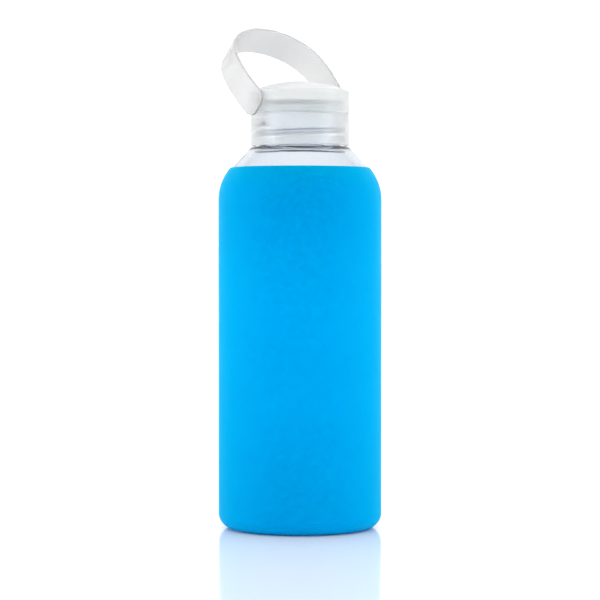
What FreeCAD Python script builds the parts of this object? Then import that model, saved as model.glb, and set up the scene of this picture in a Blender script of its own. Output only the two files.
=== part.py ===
import FreeCAD, Part
import math
import os
import Sketcher

# Glass water bottle with a silicone sleeve, a screw cap, a swivelling cap top and a carry strap.
# Millimetres, +Z up, origin on the bottle's axis in the plane it stands on.

DIMENSIONS = {
    # glass body
    "glass_radius": 34.9,
    "glass_wall": 2.6,
    "glass_foot": 2.05,
    "glass_base": 5.5,
    "glass_heel": 5.0,
    "punt_radius": 24.0,
    "punt_rise": 2.2,
    "inner_heel": 6.0,
    "inner_punt_rise": 1.3,
    "shoulder_start": 149.5,
    "shoulder_arc": 19.4,
    "shoulder_sweep": 41.3,
    "shelf_height": 171.2,
    "shelf_round": 1.2,
    "neck_root": 1.0,
    "neck_radius": 18.4,
    "neck_bore": 15.5,
    "rim_height": 190.0,
    "rim_round": 1.1,
    "bore_end": 172.2,
    "throat_radius": 2.5,
    "throat_sweep": 75.0,
    "knee_radius": 21.0,
    "knee_round": 1.5,
    # thread between neck and cap
    "thread_pitch": 4.2,
    "thread_root": 0.3,
    "glass_thread_turns": 1.6,
    "glass_thread_start": 174.6,
    "glass_thread_depth": 1.35,
    "glass_thread_half": 1.1,
    "cap_thread_turns": 1.4,
    "cap_thread_half": 0.7,
    "cap_thread_depth": 1.35,
    # silicone sleeve
    "sleeve_radius": 36.7,
    "sleeve_floor": 2.0,
    "sleeve_heel": 6.8,
    "sleeve_gap": 0.05,
    "sleeve_arc_start": 147.5,
    "sleeve_arc": 22.2,
    "sleeve_top": 162.0,
    "sleeve_lip_round": 0.3,
    # screw cap
    "cap_radius": 22.05,
    "cap_low": 171.8,
    "cap_shoulder": 186.0,
    "cap_inner": 20.2,
    "cap_step": 183.7,
    "cap_step_slope": 0.9,
    "cap_edge_round": 0.35,
    "spigot_radius": 20.2,
    "spigot_inner": 18.75,
    "spigot_relief": 19.9,
    "spigot_slope": 0.3,
    "plate_low": 191.6,
    "plate_top": 193.2,
    "spigot_land": 3.0,
    "spigot_ring": 18.3,
    "spigot_top": 194.8,
    "snap_radius": 20.45,
    "snap_height": 194.0,
    "snap_half": 0.25,
    "snap_slope": 0.15,
    # cap top
    "top_low": 186.3,
    "top_radius": 22.05,
    "top_land": 20.26,
    "top_land_height": 2.6,
    "top_land_slope": 0.3,
    "top_bore": 20.5,
    "top_lip_low": 193.0,
    "top_lip_slope": 0.25,
    "top_groove": 20.8,
    "top_groove_low": 193.45,
    "top_groove_high": 194.9,
    "top_rim": 196.2,
    "top_apex": 200.75,
    "top_skin": 1.6,
    "top_under": 20.3,
    "top_edge_round": 0.3,
    # seal
    "seal_radius": 18.4,
    "seal_low": 190.05,
    "seal_thick": 1.5,
    "seal_recess": 13.0,
    "seal_recess_depth": 0.5,
    "seal_recess_slope": 0.8,
    "seal_edge_round": 0.3,
    # carry strap
    "strap_azimuth": 37.5,
    "strap_rise": 45.4,
    "pivot_height": 191.15,
    "strap_width": 14.0,
    "strap_thick": 1.4,
    "strap_edge_round": 0.5,
    "strap_drop": 2.4,
    "ear_offset": 23.1,
    "ear_end": 2.2,
    "ear_bend_start": 0.0,
    "ear_bend": 7.0,
    "ear_corner_low": 5.0,
    "ear_corner_high": 4.6,
    "strap_flare": 13.2,
    "loop_side_turn": 22.0,
    "loop_top_turn": 35.0,
    "loop_corner_radius": 22.0,
    "strap_reach": 44.9,
    "peg_radius": 1.5,
    "peg_hole_radius": 1.56,
    "peg_tip": 20.5,
}

SAME_RING = 0.02  # two circles closer than this are one edge

doc = FreeCAD.newDocument("glass_water_bottle")
sheet = doc.addObject("Spreadsheet::Sheet", "Dims")
for row, (alias, number) in enumerate(DIMENSIONS.items(), start=1):
    sheet.set(f"A{row}", alias)
    sheet.set(f"B{row}", str(number))
    sheet.setAlias(f"B{row}", alias)
doc.recompute()


def value(expression):
    """Number of a sheet expression in which every alias is written as a plain word."""
    return float(sheet.evalExpression(linked(expression)))


def linked(expression):
    """The same expression with every alias pointed at the sheet."""
    words = []
    word = ""
    for letter in str(expression) + " ":
        if letter.isalnum() or letter in "_.":
            word += letter
            continue
        words.append(f"Dims.{word}" if word in DIMENSIONS else word)
        words.append(letter)
        word = ""
    return "".join(words).strip()


def new_body(name):
    body = doc.addObject("PartDesign::Body", name)
    body.Label = name
    return body


def origin_plane(body, role):
    return next(feature for feature in body.Origin.OriginFeatures if feature.Role == role)


def new_sketch(body, name, role, offset=None):
    """Sketch on one of the body's own origin planes, raised along its normal by a sheet value."""
    sketch = body.newObject("Sketcher::SketchObject", name)
    sketch.AttachmentSupport = (origin_plane(body, role), [""])
    sketch.MapMode = "FlatFace"
    if offset is not None:
        sketch.setExpression("AttachmentOffset.Base.z", linked(offset))
    return sketch


def drive(sketch, constraint, expression):
    """Adds a dimensional constraint whose size comes from the sheet."""
    sketch.setExpression(f"Constraints[{sketch.addConstraint(constraint)}]", linked(expression))


def pin_vertex(sketch, geometry, vertex, across, along):
    """Fixes one sketch vertex at two sheet-driven coordinates."""
    drive(sketch, Sketcher.Constraint("DistanceX", -1, 1, geometry, vertex, value(across)), across)
    drive(sketch, Sketcher.Constraint("DistanceY", -1, 1, geometry, vertex, value(along)), along)


def arc_middle(start, end, radius, turn):
    """Middle point of an arc; turn is +1 when it bends to the left and -1 to the right."""
    chord = end - start
    half = chord.Length / 2
    left = FreeCAD.Vector(-chord.y, chord.x, 0).normalize()
    sagitta = radius - math.sqrt(radius * radius - half * half)
    return start + chord * 0.5 - left * (turn * sagitta)


def draw_path(sketch, path):
    """Draws a closed outline; (x, y) is a vertex, (x, y, radius, turn) one reached along an arc."""
    points = [FreeCAD.Vector(value(step[0]), value(step[1]), 0) for step in path]
    count = len(path)
    for index, step in enumerate(path):
        start, end = points[index - 1], points[index]
        if len(step) == 2:
            sketch.addGeometry(Part.LineSegment(start, end), False)
        else:
            middle = arc_middle(start, end, value(step[2]), step[3])
            sketch.addGeometry(Part.Arc(start, middle, end), False)
    ends = [end_vertices(step) for step in path]
    for index in range(count):
        follower = (index + 1) % count
        join = Sketcher.Constraint("Coincident", index, ends[index][1], follower, ends[follower][0])
        sketch.addConstraint(join)
    for index, step in enumerate(path):
        pin_vertex(sketch, index, ends[index][1], step[0], step[1])
        if len(step) == 4:
            drive(sketch, Sketcher.Constraint("Radius", index, value(step[2])), step[2])


def end_vertices(step):
    """Start and end vertex numbers of a segment; a right-hand arc is stored end first."""
    return (2, 1) if len(step) == 4 and step[3] < 0 else (1, 2)


def revolve(body, name, path):
    """Full turn of a closed half-section about the body's Z axis."""
    sketch = new_sketch(body, f"{name}_section", "XZ_Plane")
    draw_path(sketch, path)
    feature = body.newObject("PartDesign::Revolution", name)
    feature.Profile = sketch
    feature.ReferenceAxis = (sketch, ["V_Axis"])
    feature.Angle = 360
    doc.recompute()
    return feature


def circle_edges(shape, rings):
    """Names of the circular edges lying at the given (radius, height) pairs."""
    found = []
    for index, edge in enumerate(shape.Edges, start=1):
        if edge.Degenerated or not isinstance(edge.Curve, Part.Circle):
            continue
        for radius, height in rings:
            same_radius = abs(edge.Curve.Radius - value(radius)) < SAME_RING
            if same_radius and abs(edge.Curve.Center.z - value(height)) < SAME_RING:
                found.append(f"Edge{index}")
    return found


def round_rings(body, name, rings, radius):
    """Fillet along circular edges, sized from the sheet."""
    base = body.Tip
    edges = circle_edges(base.Shape, rings)
    feature = body.newObject("PartDesign::Fillet", name)
    feature.Base = (base, edges)
    feature.setExpression("Radius", linked(radius))
    doc.recompute()
    return feature


def add_thread(body, name, role, wall, inward, start, half, depth, turns):
    """Rounded helical ridge on a wall; inward is -1 on a bore and +1 on the outside of a neck."""
    root = f"{wall} - {inward} * thread_root"
    crest = f"{wall} + {inward} * ({depth})"
    shoulder = f"{wall} + {inward} * ({depth}) * 0.55"
    sketch = new_sketch(body, f"{name}_section", role)
    draw_path(sketch, [
        (root, f"{start} - {half}"),
        (shoulder, f"{start} - {half} * 0.8"),
        (crest, f"{start} - {half} * 0.3"),
        (crest, f"{start} + {half} * 0.3"),
        (shoulder, f"{start} + {half} * 0.8"),
        (root, f"{start} + {half}"),
    ])
    feature = body.newObject("PartDesign::AdditiveHelix", name)
    feature.Profile = sketch
    feature.ReferenceAxis = (sketch, ["V_Axis"])
    feature.Mode = "pitch-turns-angle"
    feature.Pitch = value("thread_pitch")
    feature.setExpression("Pitch", linked("thread_pitch"))
    feature.Turns = value(turns)
    feature.setExpression("Turns", linked(turns))
    doc.recompute()
    return feature


def build_glass():
    """Hollow glass: punted base, straight wall, round shoulder, narrow shelf and threaded neck."""
    body = new_body("glass_bottle")
    outer_x = "glass_radius - shoulder_arc * (1 - cos(shoulder_sweep))"
    outer_z = "shoulder_start + shoulder_arc * sin(shoulder_sweep)"
    inner_arc = "shoulder_arc - glass_wall"
    inner_wall = "glass_radius - glass_wall"
    inner_x = f"{inner_wall} - ({inner_arc}) * (1 - cos(shoulder_sweep))"
    inner_z = f"shoulder_start + ({inner_arc}) * sin(shoulder_sweep)"
    shelf_x = f"{outer_x} - (shelf_height - ({outer_z})) * tan(shoulder_sweep)"
    throat_x = "neck_bore + throat_radius * (1 - cos(throat_sweep))"
    throat_z = "bore_end - throat_radius * sin(throat_sweep)"
    knee_z = f"{inner_z} + ({inner_x} - knee_radius) / tan(shoulder_sweep)"
    punt_arc = "(punt_radius^2 + punt_rise^2) / (2 * punt_rise)"
    revolve(body, "glass_blank", [
        ("0", "glass_foot + punt_rise"),
        ("punt_radius", "glass_foot", punt_arc, -1),
        ("glass_radius - glass_heel", "glass_foot"),
        ("glass_radius", "glass_foot + glass_heel", "glass_heel", 1),
        ("glass_radius", "shoulder_start"),
        (outer_x, outer_z, "shoulder_arc", 1),
        (shelf_x, "shelf_height"),
        ("neck_radius", "shelf_height"),
        ("neck_radius", "rim_height"),
        ("neck_bore", "rim_height"),
        ("neck_bore", "bore_end"),
        (throat_x, throat_z, "throat_radius", 1),
        ("knee_radius", knee_z),
        (inner_x, inner_z),
        (inner_wall, "shoulder_start", inner_arc, -1),
        (inner_wall, "glass_foot + glass_base + inner_heel"),
        (f"{inner_wall} - inner_heel", "glass_foot + glass_base", "inner_heel", -1),
        ("0", "glass_foot + glass_base + inner_punt_rise"),
    ])
    rim = [("neck_radius", "rim_height"), ("neck_bore", "rim_height")]
    round_rings(body, "glass_rim", rim, "rim_round")
    round_rings(body, "shelf_edge", [(shelf_x, "shelf_height")], "shelf_round")
    round_rings(body, "neck_root_edge", [("neck_radius", "shelf_height")], "neck_root")
    round_rings(body, "inner_knee", [("knee_radius", knee_z)], "knee_round")
    add_thread(body, "glass_thread", "XZ_Plane", "neck_radius", 1, "glass_thread_start",
               "glass_thread_half", "glass_thread_depth", "glass_thread_turns")
    return body


def build_sleeve():
    """Closed-bottom silicone sleeve that follows the glass up onto the shoulder."""
    body = new_body("silicone_sleeve")
    inner_wall = "glass_radius + sleeve_gap"
    inner_arc = "shoulder_arc + sleeve_gap"
    inner_heel = "glass_heel + sleeve_gap"
    inner_lip = f"{inner_wall} - ({inner_arc}) + sqrt(({inner_arc})^2 - (sleeve_top - shoulder_start)^2)"
    outer_lip = "sleeve_radius - sleeve_arc + sqrt(sleeve_arc^2 - (sleeve_top - sleeve_arc_start)^2)"
    revolve(body, "sleeve_wall", [
        ("0", "0"),
        ("sleeve_radius - sleeve_heel", "0"),
        ("sleeve_radius", "sleeve_heel", "sleeve_heel", 1),
        ("sleeve_radius", "sleeve_arc_start"),
        (outer_lip, "sleeve_top", "sleeve_arc", 1),
        (inner_lip, "sleeve_top"),
        (inner_wall, "shoulder_start", inner_arc, -1),
        (inner_wall, f"sleeve_floor + {inner_heel}"),
        (f"{inner_wall} - ({inner_heel})", "sleeve_floor", inner_heel, -1),
        ("0", "sleeve_floor"),
    ])
    round_rings(body, "sleeve_lip", [(outer_lip, "sleeve_top")], "sleeve_lip_round")
    return body


def build_screw_cap():
    """Threaded skirt, spigot with a snap bead, and the plate that presses on the seal."""
    body = new_body("screw_cap")
    revolve(body, "cap_blank", [
        ("cap_radius", "cap_low"),
        ("cap_radius", "cap_shoulder"),
        ("spigot_radius", "cap_shoulder"),
        ("spigot_radius", "cap_shoulder + spigot_land"),
        ("spigot_relief", "cap_shoulder + spigot_land + spigot_slope"),
        ("spigot_relief", "snap_height - snap_half - snap_slope"),
        ("snap_radius", "snap_height - snap_half"),
        ("snap_radius", "snap_height + snap_half"),
        ("spigot_relief", "spigot_top"),
        ("spigot_ring", "spigot_top"),
        ("spigot_ring", "plate_top"),
        ("0", "plate_top"),
        ("0", "plate_low"),
        ("spigot_inner", "plate_low"),
        ("spigot_inner", "cap_step"),
        ("cap_inner", "cap_step - cap_step_slope"),
        ("cap_inner", "cap_low"),
    ])
    skirt = [("cap_radius", "cap_low"), ("cap_radius", "cap_shoulder")]
    round_rings(body, "skirt_edge", skirt, "cap_edge_round")
    start = "(glass_thread_start - thread_pitch / 4)"
    add_thread(body, "cap_thread", "YZ_Plane", "cap_inner", -1, start,
               "cap_thread_half", "cap_thread_depth", "cap_thread_turns")
    return body


def build_cap_top():
    """Domed shell that snaps over the spigot; its two side holes take the strap's pegs."""
    body = new_body("cap_top")
    dome_arc = "((top_radius^2 + (top_apex - top_rim)^2) / (2 * (top_apex - top_rim)))"
    inner_arc = f"({dome_arc} - top_skin)"
    under_z = f"top_apex - {dome_arc} + sqrt({inner_arc}^2 - top_under^2)"
    revolve(body, "top_shell", [
        ("0", "top_apex - top_skin", inner_arc, 1),
        ("0", "top_apex"),
        ("top_radius", "top_rim", dome_arc, -1),
        ("top_radius", "top_low"),
        ("top_bore", "top_low"),
        ("top_land", "top_low + top_land_slope"),
        ("top_land", "top_low + top_land_height"),
        ("top_bore", "top_low + top_land_height + top_land_slope"),
        ("top_bore", "top_lip_low - top_lip_slope"),
        ("top_land", "top_lip_low"),
        ("top_land", "top_groove_low - snap_slope"),
        ("top_groove", "top_groove_low"),
        ("top_groove", "top_groove_high"),
        ("top_under", under_z),
    ])
    edges = [("top_radius", "top_low"), ("top_radius", "top_rim")]
    round_rings(body, "top_edges", edges, "top_edge_round")
    sketch = new_sketch(body, "peg_hole_section", "YZ_Plane")
    add_circle(sketch, "0", "pivot_height", "peg_hole_radius")
    holes = body.newObject("PartDesign::Pocket", "peg_holes")
    holes.Profile = sketch
    holes.Type = "ThroughAll"
    holes.Midplane = True
    turn = FreeCAD.Rotation(FreeCAD.Vector(0, 0, 1), value("strap_azimuth"))
    body.Placement = FreeCAD.Placement(FreeCAD.Vector(0, 0, 0), turn)
    doc.recompute()
    return body


def build_seal():
    """Soft disc between the plate and the glass rim, recessed where it faces the drink."""
    body = new_body("seal_liner")
    revolve(body, "seal_disc", [
        ("0", "seal_low + seal_recess_depth"),
        ("seal_recess", "seal_low + seal_recess_depth"),
        ("seal_recess + seal_recess_slope", "seal_low"),
        ("seal_radius", "seal_low"),
        ("seal_radius", "seal_low + seal_thick"),
        ("0", "seal_low + seal_thick"),
    ])
    round_rings(body, "seal_edge", [("seal_radius", "seal_low")], "seal_edge_round")
    return body


def add_circle(sketch, across, along, radius):
    centre = FreeCAD.Vector(value(across), value(along), 0)
    circle = Part.Circle(centre, FreeCAD.Vector(0, 0, 1), value(radius))
    sketch.addGeometry(circle, False)
    pin_vertex(sketch, 0, 3, across, along)
    drive(sketch, Sketcher.Constraint("Radius", 0, value(radius)), radius)


def arc_step(start, heading, new_heading, radius):
    """Middle and end of an arc; headings are in degrees from the strap's length towards its side."""
    sense = 1 if heading > new_heading else -1
    points = []
    for reached in ((heading + new_heading) / 2, new_heading):
        here, there = math.radians(heading), math.radians(reached)
        aside = math.cos(there) - math.cos(here)
        ahead = math.sin(here) - math.sin(there)
        points.append(start + FreeCAD.Vector(aside, ahead, 0) * (radius * sense))
    return points


def loop_radii(start, headings):
    """Radii of the side and top arcs that bring the loop to its apex square to its length."""
    corner = value("loop_corner_radius")
    steps = [arc_step(FreeCAD.Vector(), headings[i], headings[i + 1], 1)[1] for i in range(3)]
    aside = -start.x - corner * steps[1].x
    ahead = value("strap_reach") - start.y - corner * steps[1].y
    scale = steps[0].x * steps[2].y - steps[0].y * steps[2].x
    side = (aside * steps[2].y - ahead * steps[2].x) / scale
    top = (ahead * steps[0].x - aside * steps[0].y) / scale
    return side, corner, top


def half_spine():
    """Centre line of half the strap: straight ear, outward bend, then three arcs to the apex."""
    low = FreeCAD.Vector(value("ear_offset"), -value("ear_end"), 0)
    here = FreeCAD.Vector(value("ear_offset"), value("ear_bend_start"), 0)
    flare = value("strap_flare")
    pieces = [(low, here)]
    middle, there = arc_step(here, 0, flare, value("ear_bend"))
    pieces.append((here, middle, there))
    headings = (flare, flare - value("loop_side_turn"), value("loop_top_turn") - 90, -90)
    for index, radius in enumerate(loop_radii(there, headings)):
        here = there
        middle, there = arc_step(here, headings[index], headings[index + 1], radius)
        pieces.append((here, middle, there))
    return pieces


def draw_spine(sketch):
    """The whole centre line as one chain from the left ear over the apex to the right ear."""
    right = half_spine()
    left = [[FreeCAD.Vector(-point.x, point.y, 0) for point in piece] for piece in right]
    chain = left + [tuple(reversed(piece)) for piece in reversed(right)]
    for piece in chain:
        curve = Part.LineSegment(*piece) if len(piece) == 2 else Part.Arc(*piece)
        sketch.addGeometry(curve, False)


def build_strap():
    """Soft carry strap, a flat band bent to a loop, with a round peg inside each end."""
    body = new_body("carry_strap")
    spine = new_sketch(body, "strap_line", "XY_Plane")
    draw_spine(spine)
    spine.setExpression("AttachmentOffset.Base.z", linked("-strap_drop"))
    section = new_sketch(body, "strap_section", "XZ_Plane", "ear_end")
    draw_band_section(section)
    doc.recompute()
    band = body.newObject("PartDesign::AdditivePipe", "strap_band")
    band.Profile = section
    band.Spine = spine
    doc.recompute()
    round_ear_corner(body, "low", -1)
    round_ear_corner(body, "high", 1)
    peg_section = new_sketch(body, "peg_section", "YZ_Plane", "peg_tip")
    add_circle(peg_section, "0", "0", "peg_radius")
    peg = body.newObject("PartDesign::Pad", "peg")
    peg.Profile = peg_section
    peg.Length = value("ear_offset - peg_tip")
    peg.setExpression("Length", linked("ear_offset - peg_tip"))
    doc.recompute()
    pegs = body.newObject("PartDesign::Mirrored", "both_pegs")
    pegs.Originals = [peg]
    pegs.MirrorPlane = (origin_plane(body, "YZ_Plane"), [""])
    body.Tip = pegs
    azimuth = FreeCAD.Rotation(FreeCAD.Vector(0, 0, 1), value("strap_azimuth"))
    rise = FreeCAD.Rotation(FreeCAD.Vector(1, 0, 0), value("strap_rise"))
    pivot = FreeCAD.Vector(0, 0, value("pivot_height"))
    body.Placement = FreeCAD.Placement(pivot, azimuth.multiply(rise))
    doc.recompute()
    return body


def draw_band_section(sketch):
    """Rounded rectangle across the strap, standing at the left ear's end."""
    near, far = "-ear_offset + strap_thick / 2", "-ear_offset - strap_thick / 2"
    low, high = "-strap_drop - strap_width / 2", "-strap_drop + strap_width / 2"
    soft = "strap_edge_round"
    draw_path(sketch, [
        (f"{far} + {soft}", low, soft, 1),
        (f"{near} - {soft}", low),
        (near, f"{low} + {soft}", soft, 1),
        (near, f"{high} - {soft}"),
        (f"{near} - {soft}", high, soft, 1),
        (f"{far} + {soft}", high),
        (far, f"{high} - {soft}", soft, 1),
        (far, f"{low} + {soft}"),
    ])


def round_ear_corner(body, name, side):
    """Rounds one end corner of both ears; side is +1 for the upper edge and -1 for the lower."""
    corner = f"ear_corner_{name}"
    edge = f"-strap_drop + {side} * strap_width / 2"
    beyond = f"{edge} + {side} * strap_thick"
    centre = f"-ear_end + {corner}"
    sketch = new_sketch(body, f"ear_{name}_section", "YZ_Plane")
    draw_path(sketch, [
        ("-ear_end - strap_thick", f"{edge} - {side} * {corner}"),
        ("-ear_end - strap_thick", beyond),
        (centre, beyond),
        (centre, edge),
        ("-ear_end", f"{edge} - {side} * {corner}", corner, side),
    ])
    trim = body.newObject("PartDesign::Pocket", f"ear_{name}_corners")
    trim.Profile = sketch
    trim.Type = "ThroughAll"
    trim.Midplane = True
    doc.recompute()


def check_and_export(bodies):
    """Stops on any failed feature or bad solid, then writes one STEP file per piece."""
    for item in doc.Objects:
        if "Invalid" in item.State or "Error" in item.State:
            raise RuntimeError(f"{item.Name} failed: {item.State}")
    os.makedirs("parts", exist_ok=True)
    for body in bodies:
        shape = body.Shape
        if shape.isNull() or not shape.isValid() or len(shape.Solids) != 1:
            raise RuntimeError(f"{body.Label} is not one valid solid")
        shape.exportStep(f"parts/{body.Label}.step")
        box = shape.BoundBox
        print(f"{body.Label:16s} {shape.Volume:10.1f} mm3  z {box.ZMin:7.2f} to {box.ZMax:7.2f}"
              f"  faces {len(shape.Faces)}")


check_and_export([
    build_glass(),
    build_sleeve(),
    build_screw_cap(),
    build_cap_top(),
    build_seal(),
    build_strap(),
])
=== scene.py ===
import math

import bpy
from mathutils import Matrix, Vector


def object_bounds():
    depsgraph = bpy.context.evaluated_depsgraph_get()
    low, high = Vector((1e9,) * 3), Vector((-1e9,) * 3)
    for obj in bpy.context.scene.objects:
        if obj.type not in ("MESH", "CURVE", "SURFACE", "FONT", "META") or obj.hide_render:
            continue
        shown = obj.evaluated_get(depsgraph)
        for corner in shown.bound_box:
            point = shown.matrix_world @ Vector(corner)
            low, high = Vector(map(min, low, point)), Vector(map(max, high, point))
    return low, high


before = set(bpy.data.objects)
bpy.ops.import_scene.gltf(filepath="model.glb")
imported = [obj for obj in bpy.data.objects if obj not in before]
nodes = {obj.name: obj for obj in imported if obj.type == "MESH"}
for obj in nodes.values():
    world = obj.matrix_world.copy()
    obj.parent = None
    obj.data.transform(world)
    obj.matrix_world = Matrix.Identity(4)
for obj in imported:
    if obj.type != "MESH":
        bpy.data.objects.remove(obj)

# Glass water bottle in a blue silicone sleeve, with a frosted screw cap and a carry strap.
# Metres, +Z up, the row's own frame.

cad_low, cad_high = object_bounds()

# glass and plastics
GLASS_DENSITY = 100.0          # absorption per metre, times one less each colour below
GLASS_COLOUR = (0.28, 0.38, 0.5, 1)
GLASS_WAVES = 0.0001
SLEEVE_LIGHT_DEPTH = 0.004
SLEEVE_GLOSS = 0.01            # nearly none: the silicone is matt
PAINTED_GLOW = 0.047             # painted glow: the frosted cap emits a faint light, standing in for light scattered many times inside the frosted wall

# room
FLOOR_HALF = 60.0
WORLD_STRENGTH = 1.32
SOFTBOX_SIDE = 0.5
SOFTBOX_POWER = 3.0
SOFTBOX_PLACE = Vector((1.1, -0.28, 0.16))
SOFTBOX_AIM = Vector((0, 0, 0.1))
GLOW_PLACE = Vector((0, -0.9, 0.13))
GLOW_AIM = Vector((0, 0, 0.08))
GLOW_CONE = math.radians(10)
GLOW_POWER = 9
GLOW_RADIUS = 0.03
GLOW_GLOSS = 0.1
LIGHT_BOUNCES = 48

# camera
CAMERA_BACK = 1.024
CAMERA_HEIGHT = 0.1288
CAMERA_TILT = math.radians(1.4705)
LENS = 136.5
SENSOR = 36
NEAREST = 0.01


# ---------------------------------------------------------------- material helpers

def new_material(name, values):
    """A Principled material with these socket values."""
    material = bpy.data.materials.new(name)
    material.use_nodes = True
    tree = material.node_tree
    shader = tree.nodes["Principled BSDF"]
    for socket, value in values.items():
        shader.inputs[socket].default_value = value
    return material, tree, shader


def noise(tree, scale, detail=3.0, stretch=(1, 1, 1)):
    """Noise in the object's own metres, stretched along an axis where wanted."""
    coordinates = tree.nodes.new("ShaderNodeTexCoord")
    mapping = tree.nodes.new("ShaderNodeMapping")
    mapping.inputs["Scale"].default_value = stretch
    texture = tree.nodes.new("ShaderNodeTexNoise")
    texture.inputs["Scale"].default_value = scale
    texture.inputs["Detail"].default_value = detail
    texture.inputs["Roughness"].default_value = 0.55
    tree.links.new(coordinates.outputs["Object"], mapping.inputs["Vector"])
    tree.links.new(mapping.outputs["Vector"], texture.inputs["Vector"])
    return texture.outputs["Fac"]


def vary_colour(tree, shader, factor, low, high):
    """Base colour that drifts between two near colours."""
    node = tree.nodes.new("ShaderNodeValToRGB")
    stops = node.color_ramp.elements
    stops[0].position, stops[1].position = 0.35, 0.65
    stops[0].color = (*low, 1)
    stops[1].color = (*high, 1)
    tree.links.new(factor, node.inputs["Fac"])
    tree.links.new(node.outputs["Color"], shader.inputs["Base Color"])


def vary_roughness(tree, shader, factor, low, high):
    """Roughness that drifts between two values."""
    node = tree.nodes.new("ShaderNodeMapRange")
    node.inputs["From Min"].default_value = 0.3
    node.inputs["From Max"].default_value = 0.7
    node.inputs["To Min"].default_value = low
    node.inputs["To Max"].default_value = high
    tree.links.new(factor, node.inputs["Value"])
    tree.links.new(node.outputs["Result"], shader.inputs["Roughness"])


def bump(tree, shader, height, distance, strength=1.0, under=None):
    """Relief in metres, on top of another relief if one is given."""
    node = tree.nodes.new("ShaderNodeBump")
    node.inputs["Distance"].default_value = distance
    node.inputs["Strength"].default_value = strength
    tree.links.new(height, node.inputs["Height"])
    if under is not None:
        tree.links.new(under, node.inputs["Normal"])
    tree.links.new(node.outputs["Normal"], shader.inputs["Normal"])
    return node.outputs["Normal"]


# ---------------------------------------------------------------- materials

def clear_glass():
    """Soda-lime glass with the faint waviness of a blown body.

    It is darker where light runs a long way inside the wall.
    """
    material, tree, shader = new_material("clear_glass", {
        "Base Color": (0.99, 0.995, 1.0, 1),
        "Roughness": 0.0,
        "IOR": 1.5,
        "Transmission Weight": 1.0,
    })
    inside = tree.nodes.new("ShaderNodeVolumeAbsorption")
    inside.inputs["Color"].default_value = GLASS_COLOUR
    inside.inputs["Density"].default_value = GLASS_DENSITY
    tree.links.new(inside.outputs["Volume"], tree.nodes["Material Output"].inputs["Volume"])
    waves = noise(tree, 55, detail=1.5, stretch=(1, 1, 0.35))
    bump(tree, shader, waves, GLASS_WAVES)
    return material


def blue_silicone():
    """Matt silicone with a fine moulded grain, thin enough for some daylight to come through."""
    material, tree, shader = new_material("blue_silicone", {
        "IOR": 1.41,
        "Specular IOR Level": SLEEVE_GLOSS,
        "Specular Tint": (0.0, 0.75, 1.0, 1),
        "Subsurface Weight": 1.0,
        "Subsurface Radius": (0.1, 0.9, 1.0),
        "Subsurface Scale": SLEEVE_LIGHT_DEPTH,
    })
    vary_colour(tree, shader, noise(tree, 18, detail=4), (0.0, 0.298, 0.635), (0.0, 0.313, 0.66))
    vary_roughness(tree, shader, noise(tree, 60), 0.36, 0.42)
    swell = bump(tree, shader, noise(tree, 40, detail=2), 0.0003, 0.35)
    bump(tree, shader, noise(tree, 2600, detail=2), 0.00003, 0.5, swell)
    return material


def frosted_plastic():
    """Frosted polypropylene: shapes behind it are only hinted at. It also carries a painted
    glow, a faint emission that stands in for light scattered inside the wall.
    """
    material, tree, shader = new_material("frosted_plastic", {
        "IOR": 1.49,
        "Transmission Weight": 1.0,
        # painted glow: the plastic emits a faint light though it is no lamp
        "Emission Color": (0.92, 0.97, 0.975, 1),
        "Emission Strength": PAINTED_GLOW,
    })
    vary_colour(tree, shader, noise(tree, 90), (0.985, 0.997, 0.998), (0.995, 1.0, 1.0))
    vary_roughness(tree, shader, noise(tree, 240), 0.35, 0.41)
    bump(tree, shader, noise(tree, 60, detail=1), 0.00005, 0.3)
    return material


def strap_plastic():
    """Milky flexible plastic with a satin skin."""
    material, tree, shader = new_material("strap_plastic", {
        "IOR": 1.47,
        "Transmission Weight": 0.65,
    })
    vary_colour(tree, shader, noise(tree, 70), (0.79, 0.79, 0.795), (0.82, 0.82, 0.825))
    vary_roughness(tree, shader, noise(tree, 200), 0.34, 0.42)
    bump(tree, shader, noise(tree, 2800, detail=2), 0.00002, 0.5)
    return material


def seal_silicone():
    """Translucent white silicone."""
    material, tree, shader = new_material("seal_silicone", {"Transmission Weight": 0.9})
    vary_colour(tree, shader, noise(tree, 120), (0.97, 0.98, 0.98), (0.985, 0.99, 0.99))
    vary_roughness(tree, shader, noise(tree, 300), 0.45, 0.55)
    bump(tree, shader, noise(tree, 2400), 0.00003, 0.4)
    return material


def floor_white():
    """Pale floor with a soft mirror image."""
    material, tree, shader = new_material("floor_white", {"Roughness": 0.12, "IOR": 1.3})
    vary_colour(tree, shader, noise(tree, 3), (0.87, 0.87, 0.87), (0.89, 0.89, 0.89))
    return material


def dress(name, material):
    """Gives a CAD node a finish."""
    slots = nodes[name].data.materials
    slots.clear()
    slots.append(material)


frosted = frosted_plastic()
dress("glass_bottle", clear_glass())
dress("silicone_sleeve", blue_silicone())
dress("screw_cap", frosted)
dress("cap_top", frosted)
dress("carry_strap", strap_plastic())
dress("seal_liner", seal_silicone())


# ---------------------------------------------------------------- floor, light and camera

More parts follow.
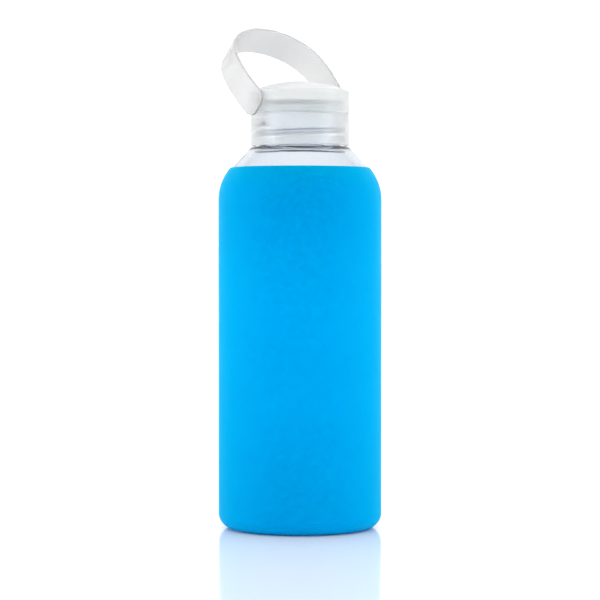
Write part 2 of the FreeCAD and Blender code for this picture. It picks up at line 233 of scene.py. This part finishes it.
def add_floor():
    """A flat square under the bottle, wide enough to reach the horizon."""
    mesh = bpy.data.meshes.new("floor")
    signs = ((-1, -1), (1, -1), (1, 1), (-1, 1))
    corners = [(x * FLOOR_HALF, y * FLOOR_HALF, cad_low.z) for x, y in signs]
    mesh.from_pydata(corners, [], [(0, 1, 2, 3)])
    mesh.materials.append(floor_white())
    floor = bpy.data.objects.new("floor", mesh)
    bpy.context.collection.objects.link(floor)


def add_world():
    """Even white light from all round."""
    world = bpy.data.worlds.new("studio")
    bpy.context.scene.world = world
    world.use_nodes = True
    background = world.node_tree.nodes["Background"]
    background.inputs["Color"].default_value = (1, 1, 1, 1)
    background.inputs["Strength"].default_value = WORLD_STRENGTH


def hang(light, place, aim):
    """Puts a lamp at place, pointing at aim."""
    lamp = bpy.data.objects.new(light.name, light)
    lamp.location = place
    lamp.rotation_euler = (aim - place).to_track_quat("-Z", "Y").to_euler()
    bpy.context.collection.objects.link(lamp)


def add_softbox(name, place):
    light = bpy.data.lights.new(name, "AREA")
    light.shape = "RECTANGLE"
    light.size = light.size_y = SOFTBOX_SIDE
    light.energy = SOFTBOX_POWER
    hang(light, place, SOFTBOX_AIM)


def add_front_glow():
    """Soft pool of light on the middle of the sleeve."""
    light = bpy.data.lights.new("front_glow", "SPOT")
    light.spot_size = GLOW_CONE
    light.spot_blend = 1.0
    light.shadow_soft_size = GLOW_RADIUS
    light.specular_factor = GLOW_GLOSS
    light.energy = GLOW_POWER
    hang(light, GLOW_PLACE, GLOW_AIM)


def allow_bounces(count):
    """Enough light bounces to get through the cap, the neck and back out."""
    cycles = bpy.context.scene.cycles
    cycles.max_bounces = count
    cycles.transmission_bounces = count
    cycles.glossy_bounces = count
    cycles.diffuse_bounces = count // 4


def add_camera():
    data = bpy.data.cameras.new("camera")
    data.lens = LENS
    data.sensor_width = SENSOR
    data.clip_start = NEAREST
    camera = bpy.data.objects.new("camera", data)
    camera.location = (0, -CAMERA_BACK, CAMERA_HEIGHT)
    camera.rotation_euler = (math.pi / 2 - CAMERA_TILT, 0, 0)
    bpy.context.collection.objects.link(camera)
    bpy.context.scene.camera = camera


add_floor()
add_world()
add_softbox("left_box", SOFTBOX_PLACE * Vector((-1, 1, 1)))
add_softbox("right_box", SOFTBOX_PLACE)
add_front_glow()
add_camera()
allow_bounces(LIGHT_BOUNCES)
bpy.context.scene.view_settings.view_transform = "Standard"
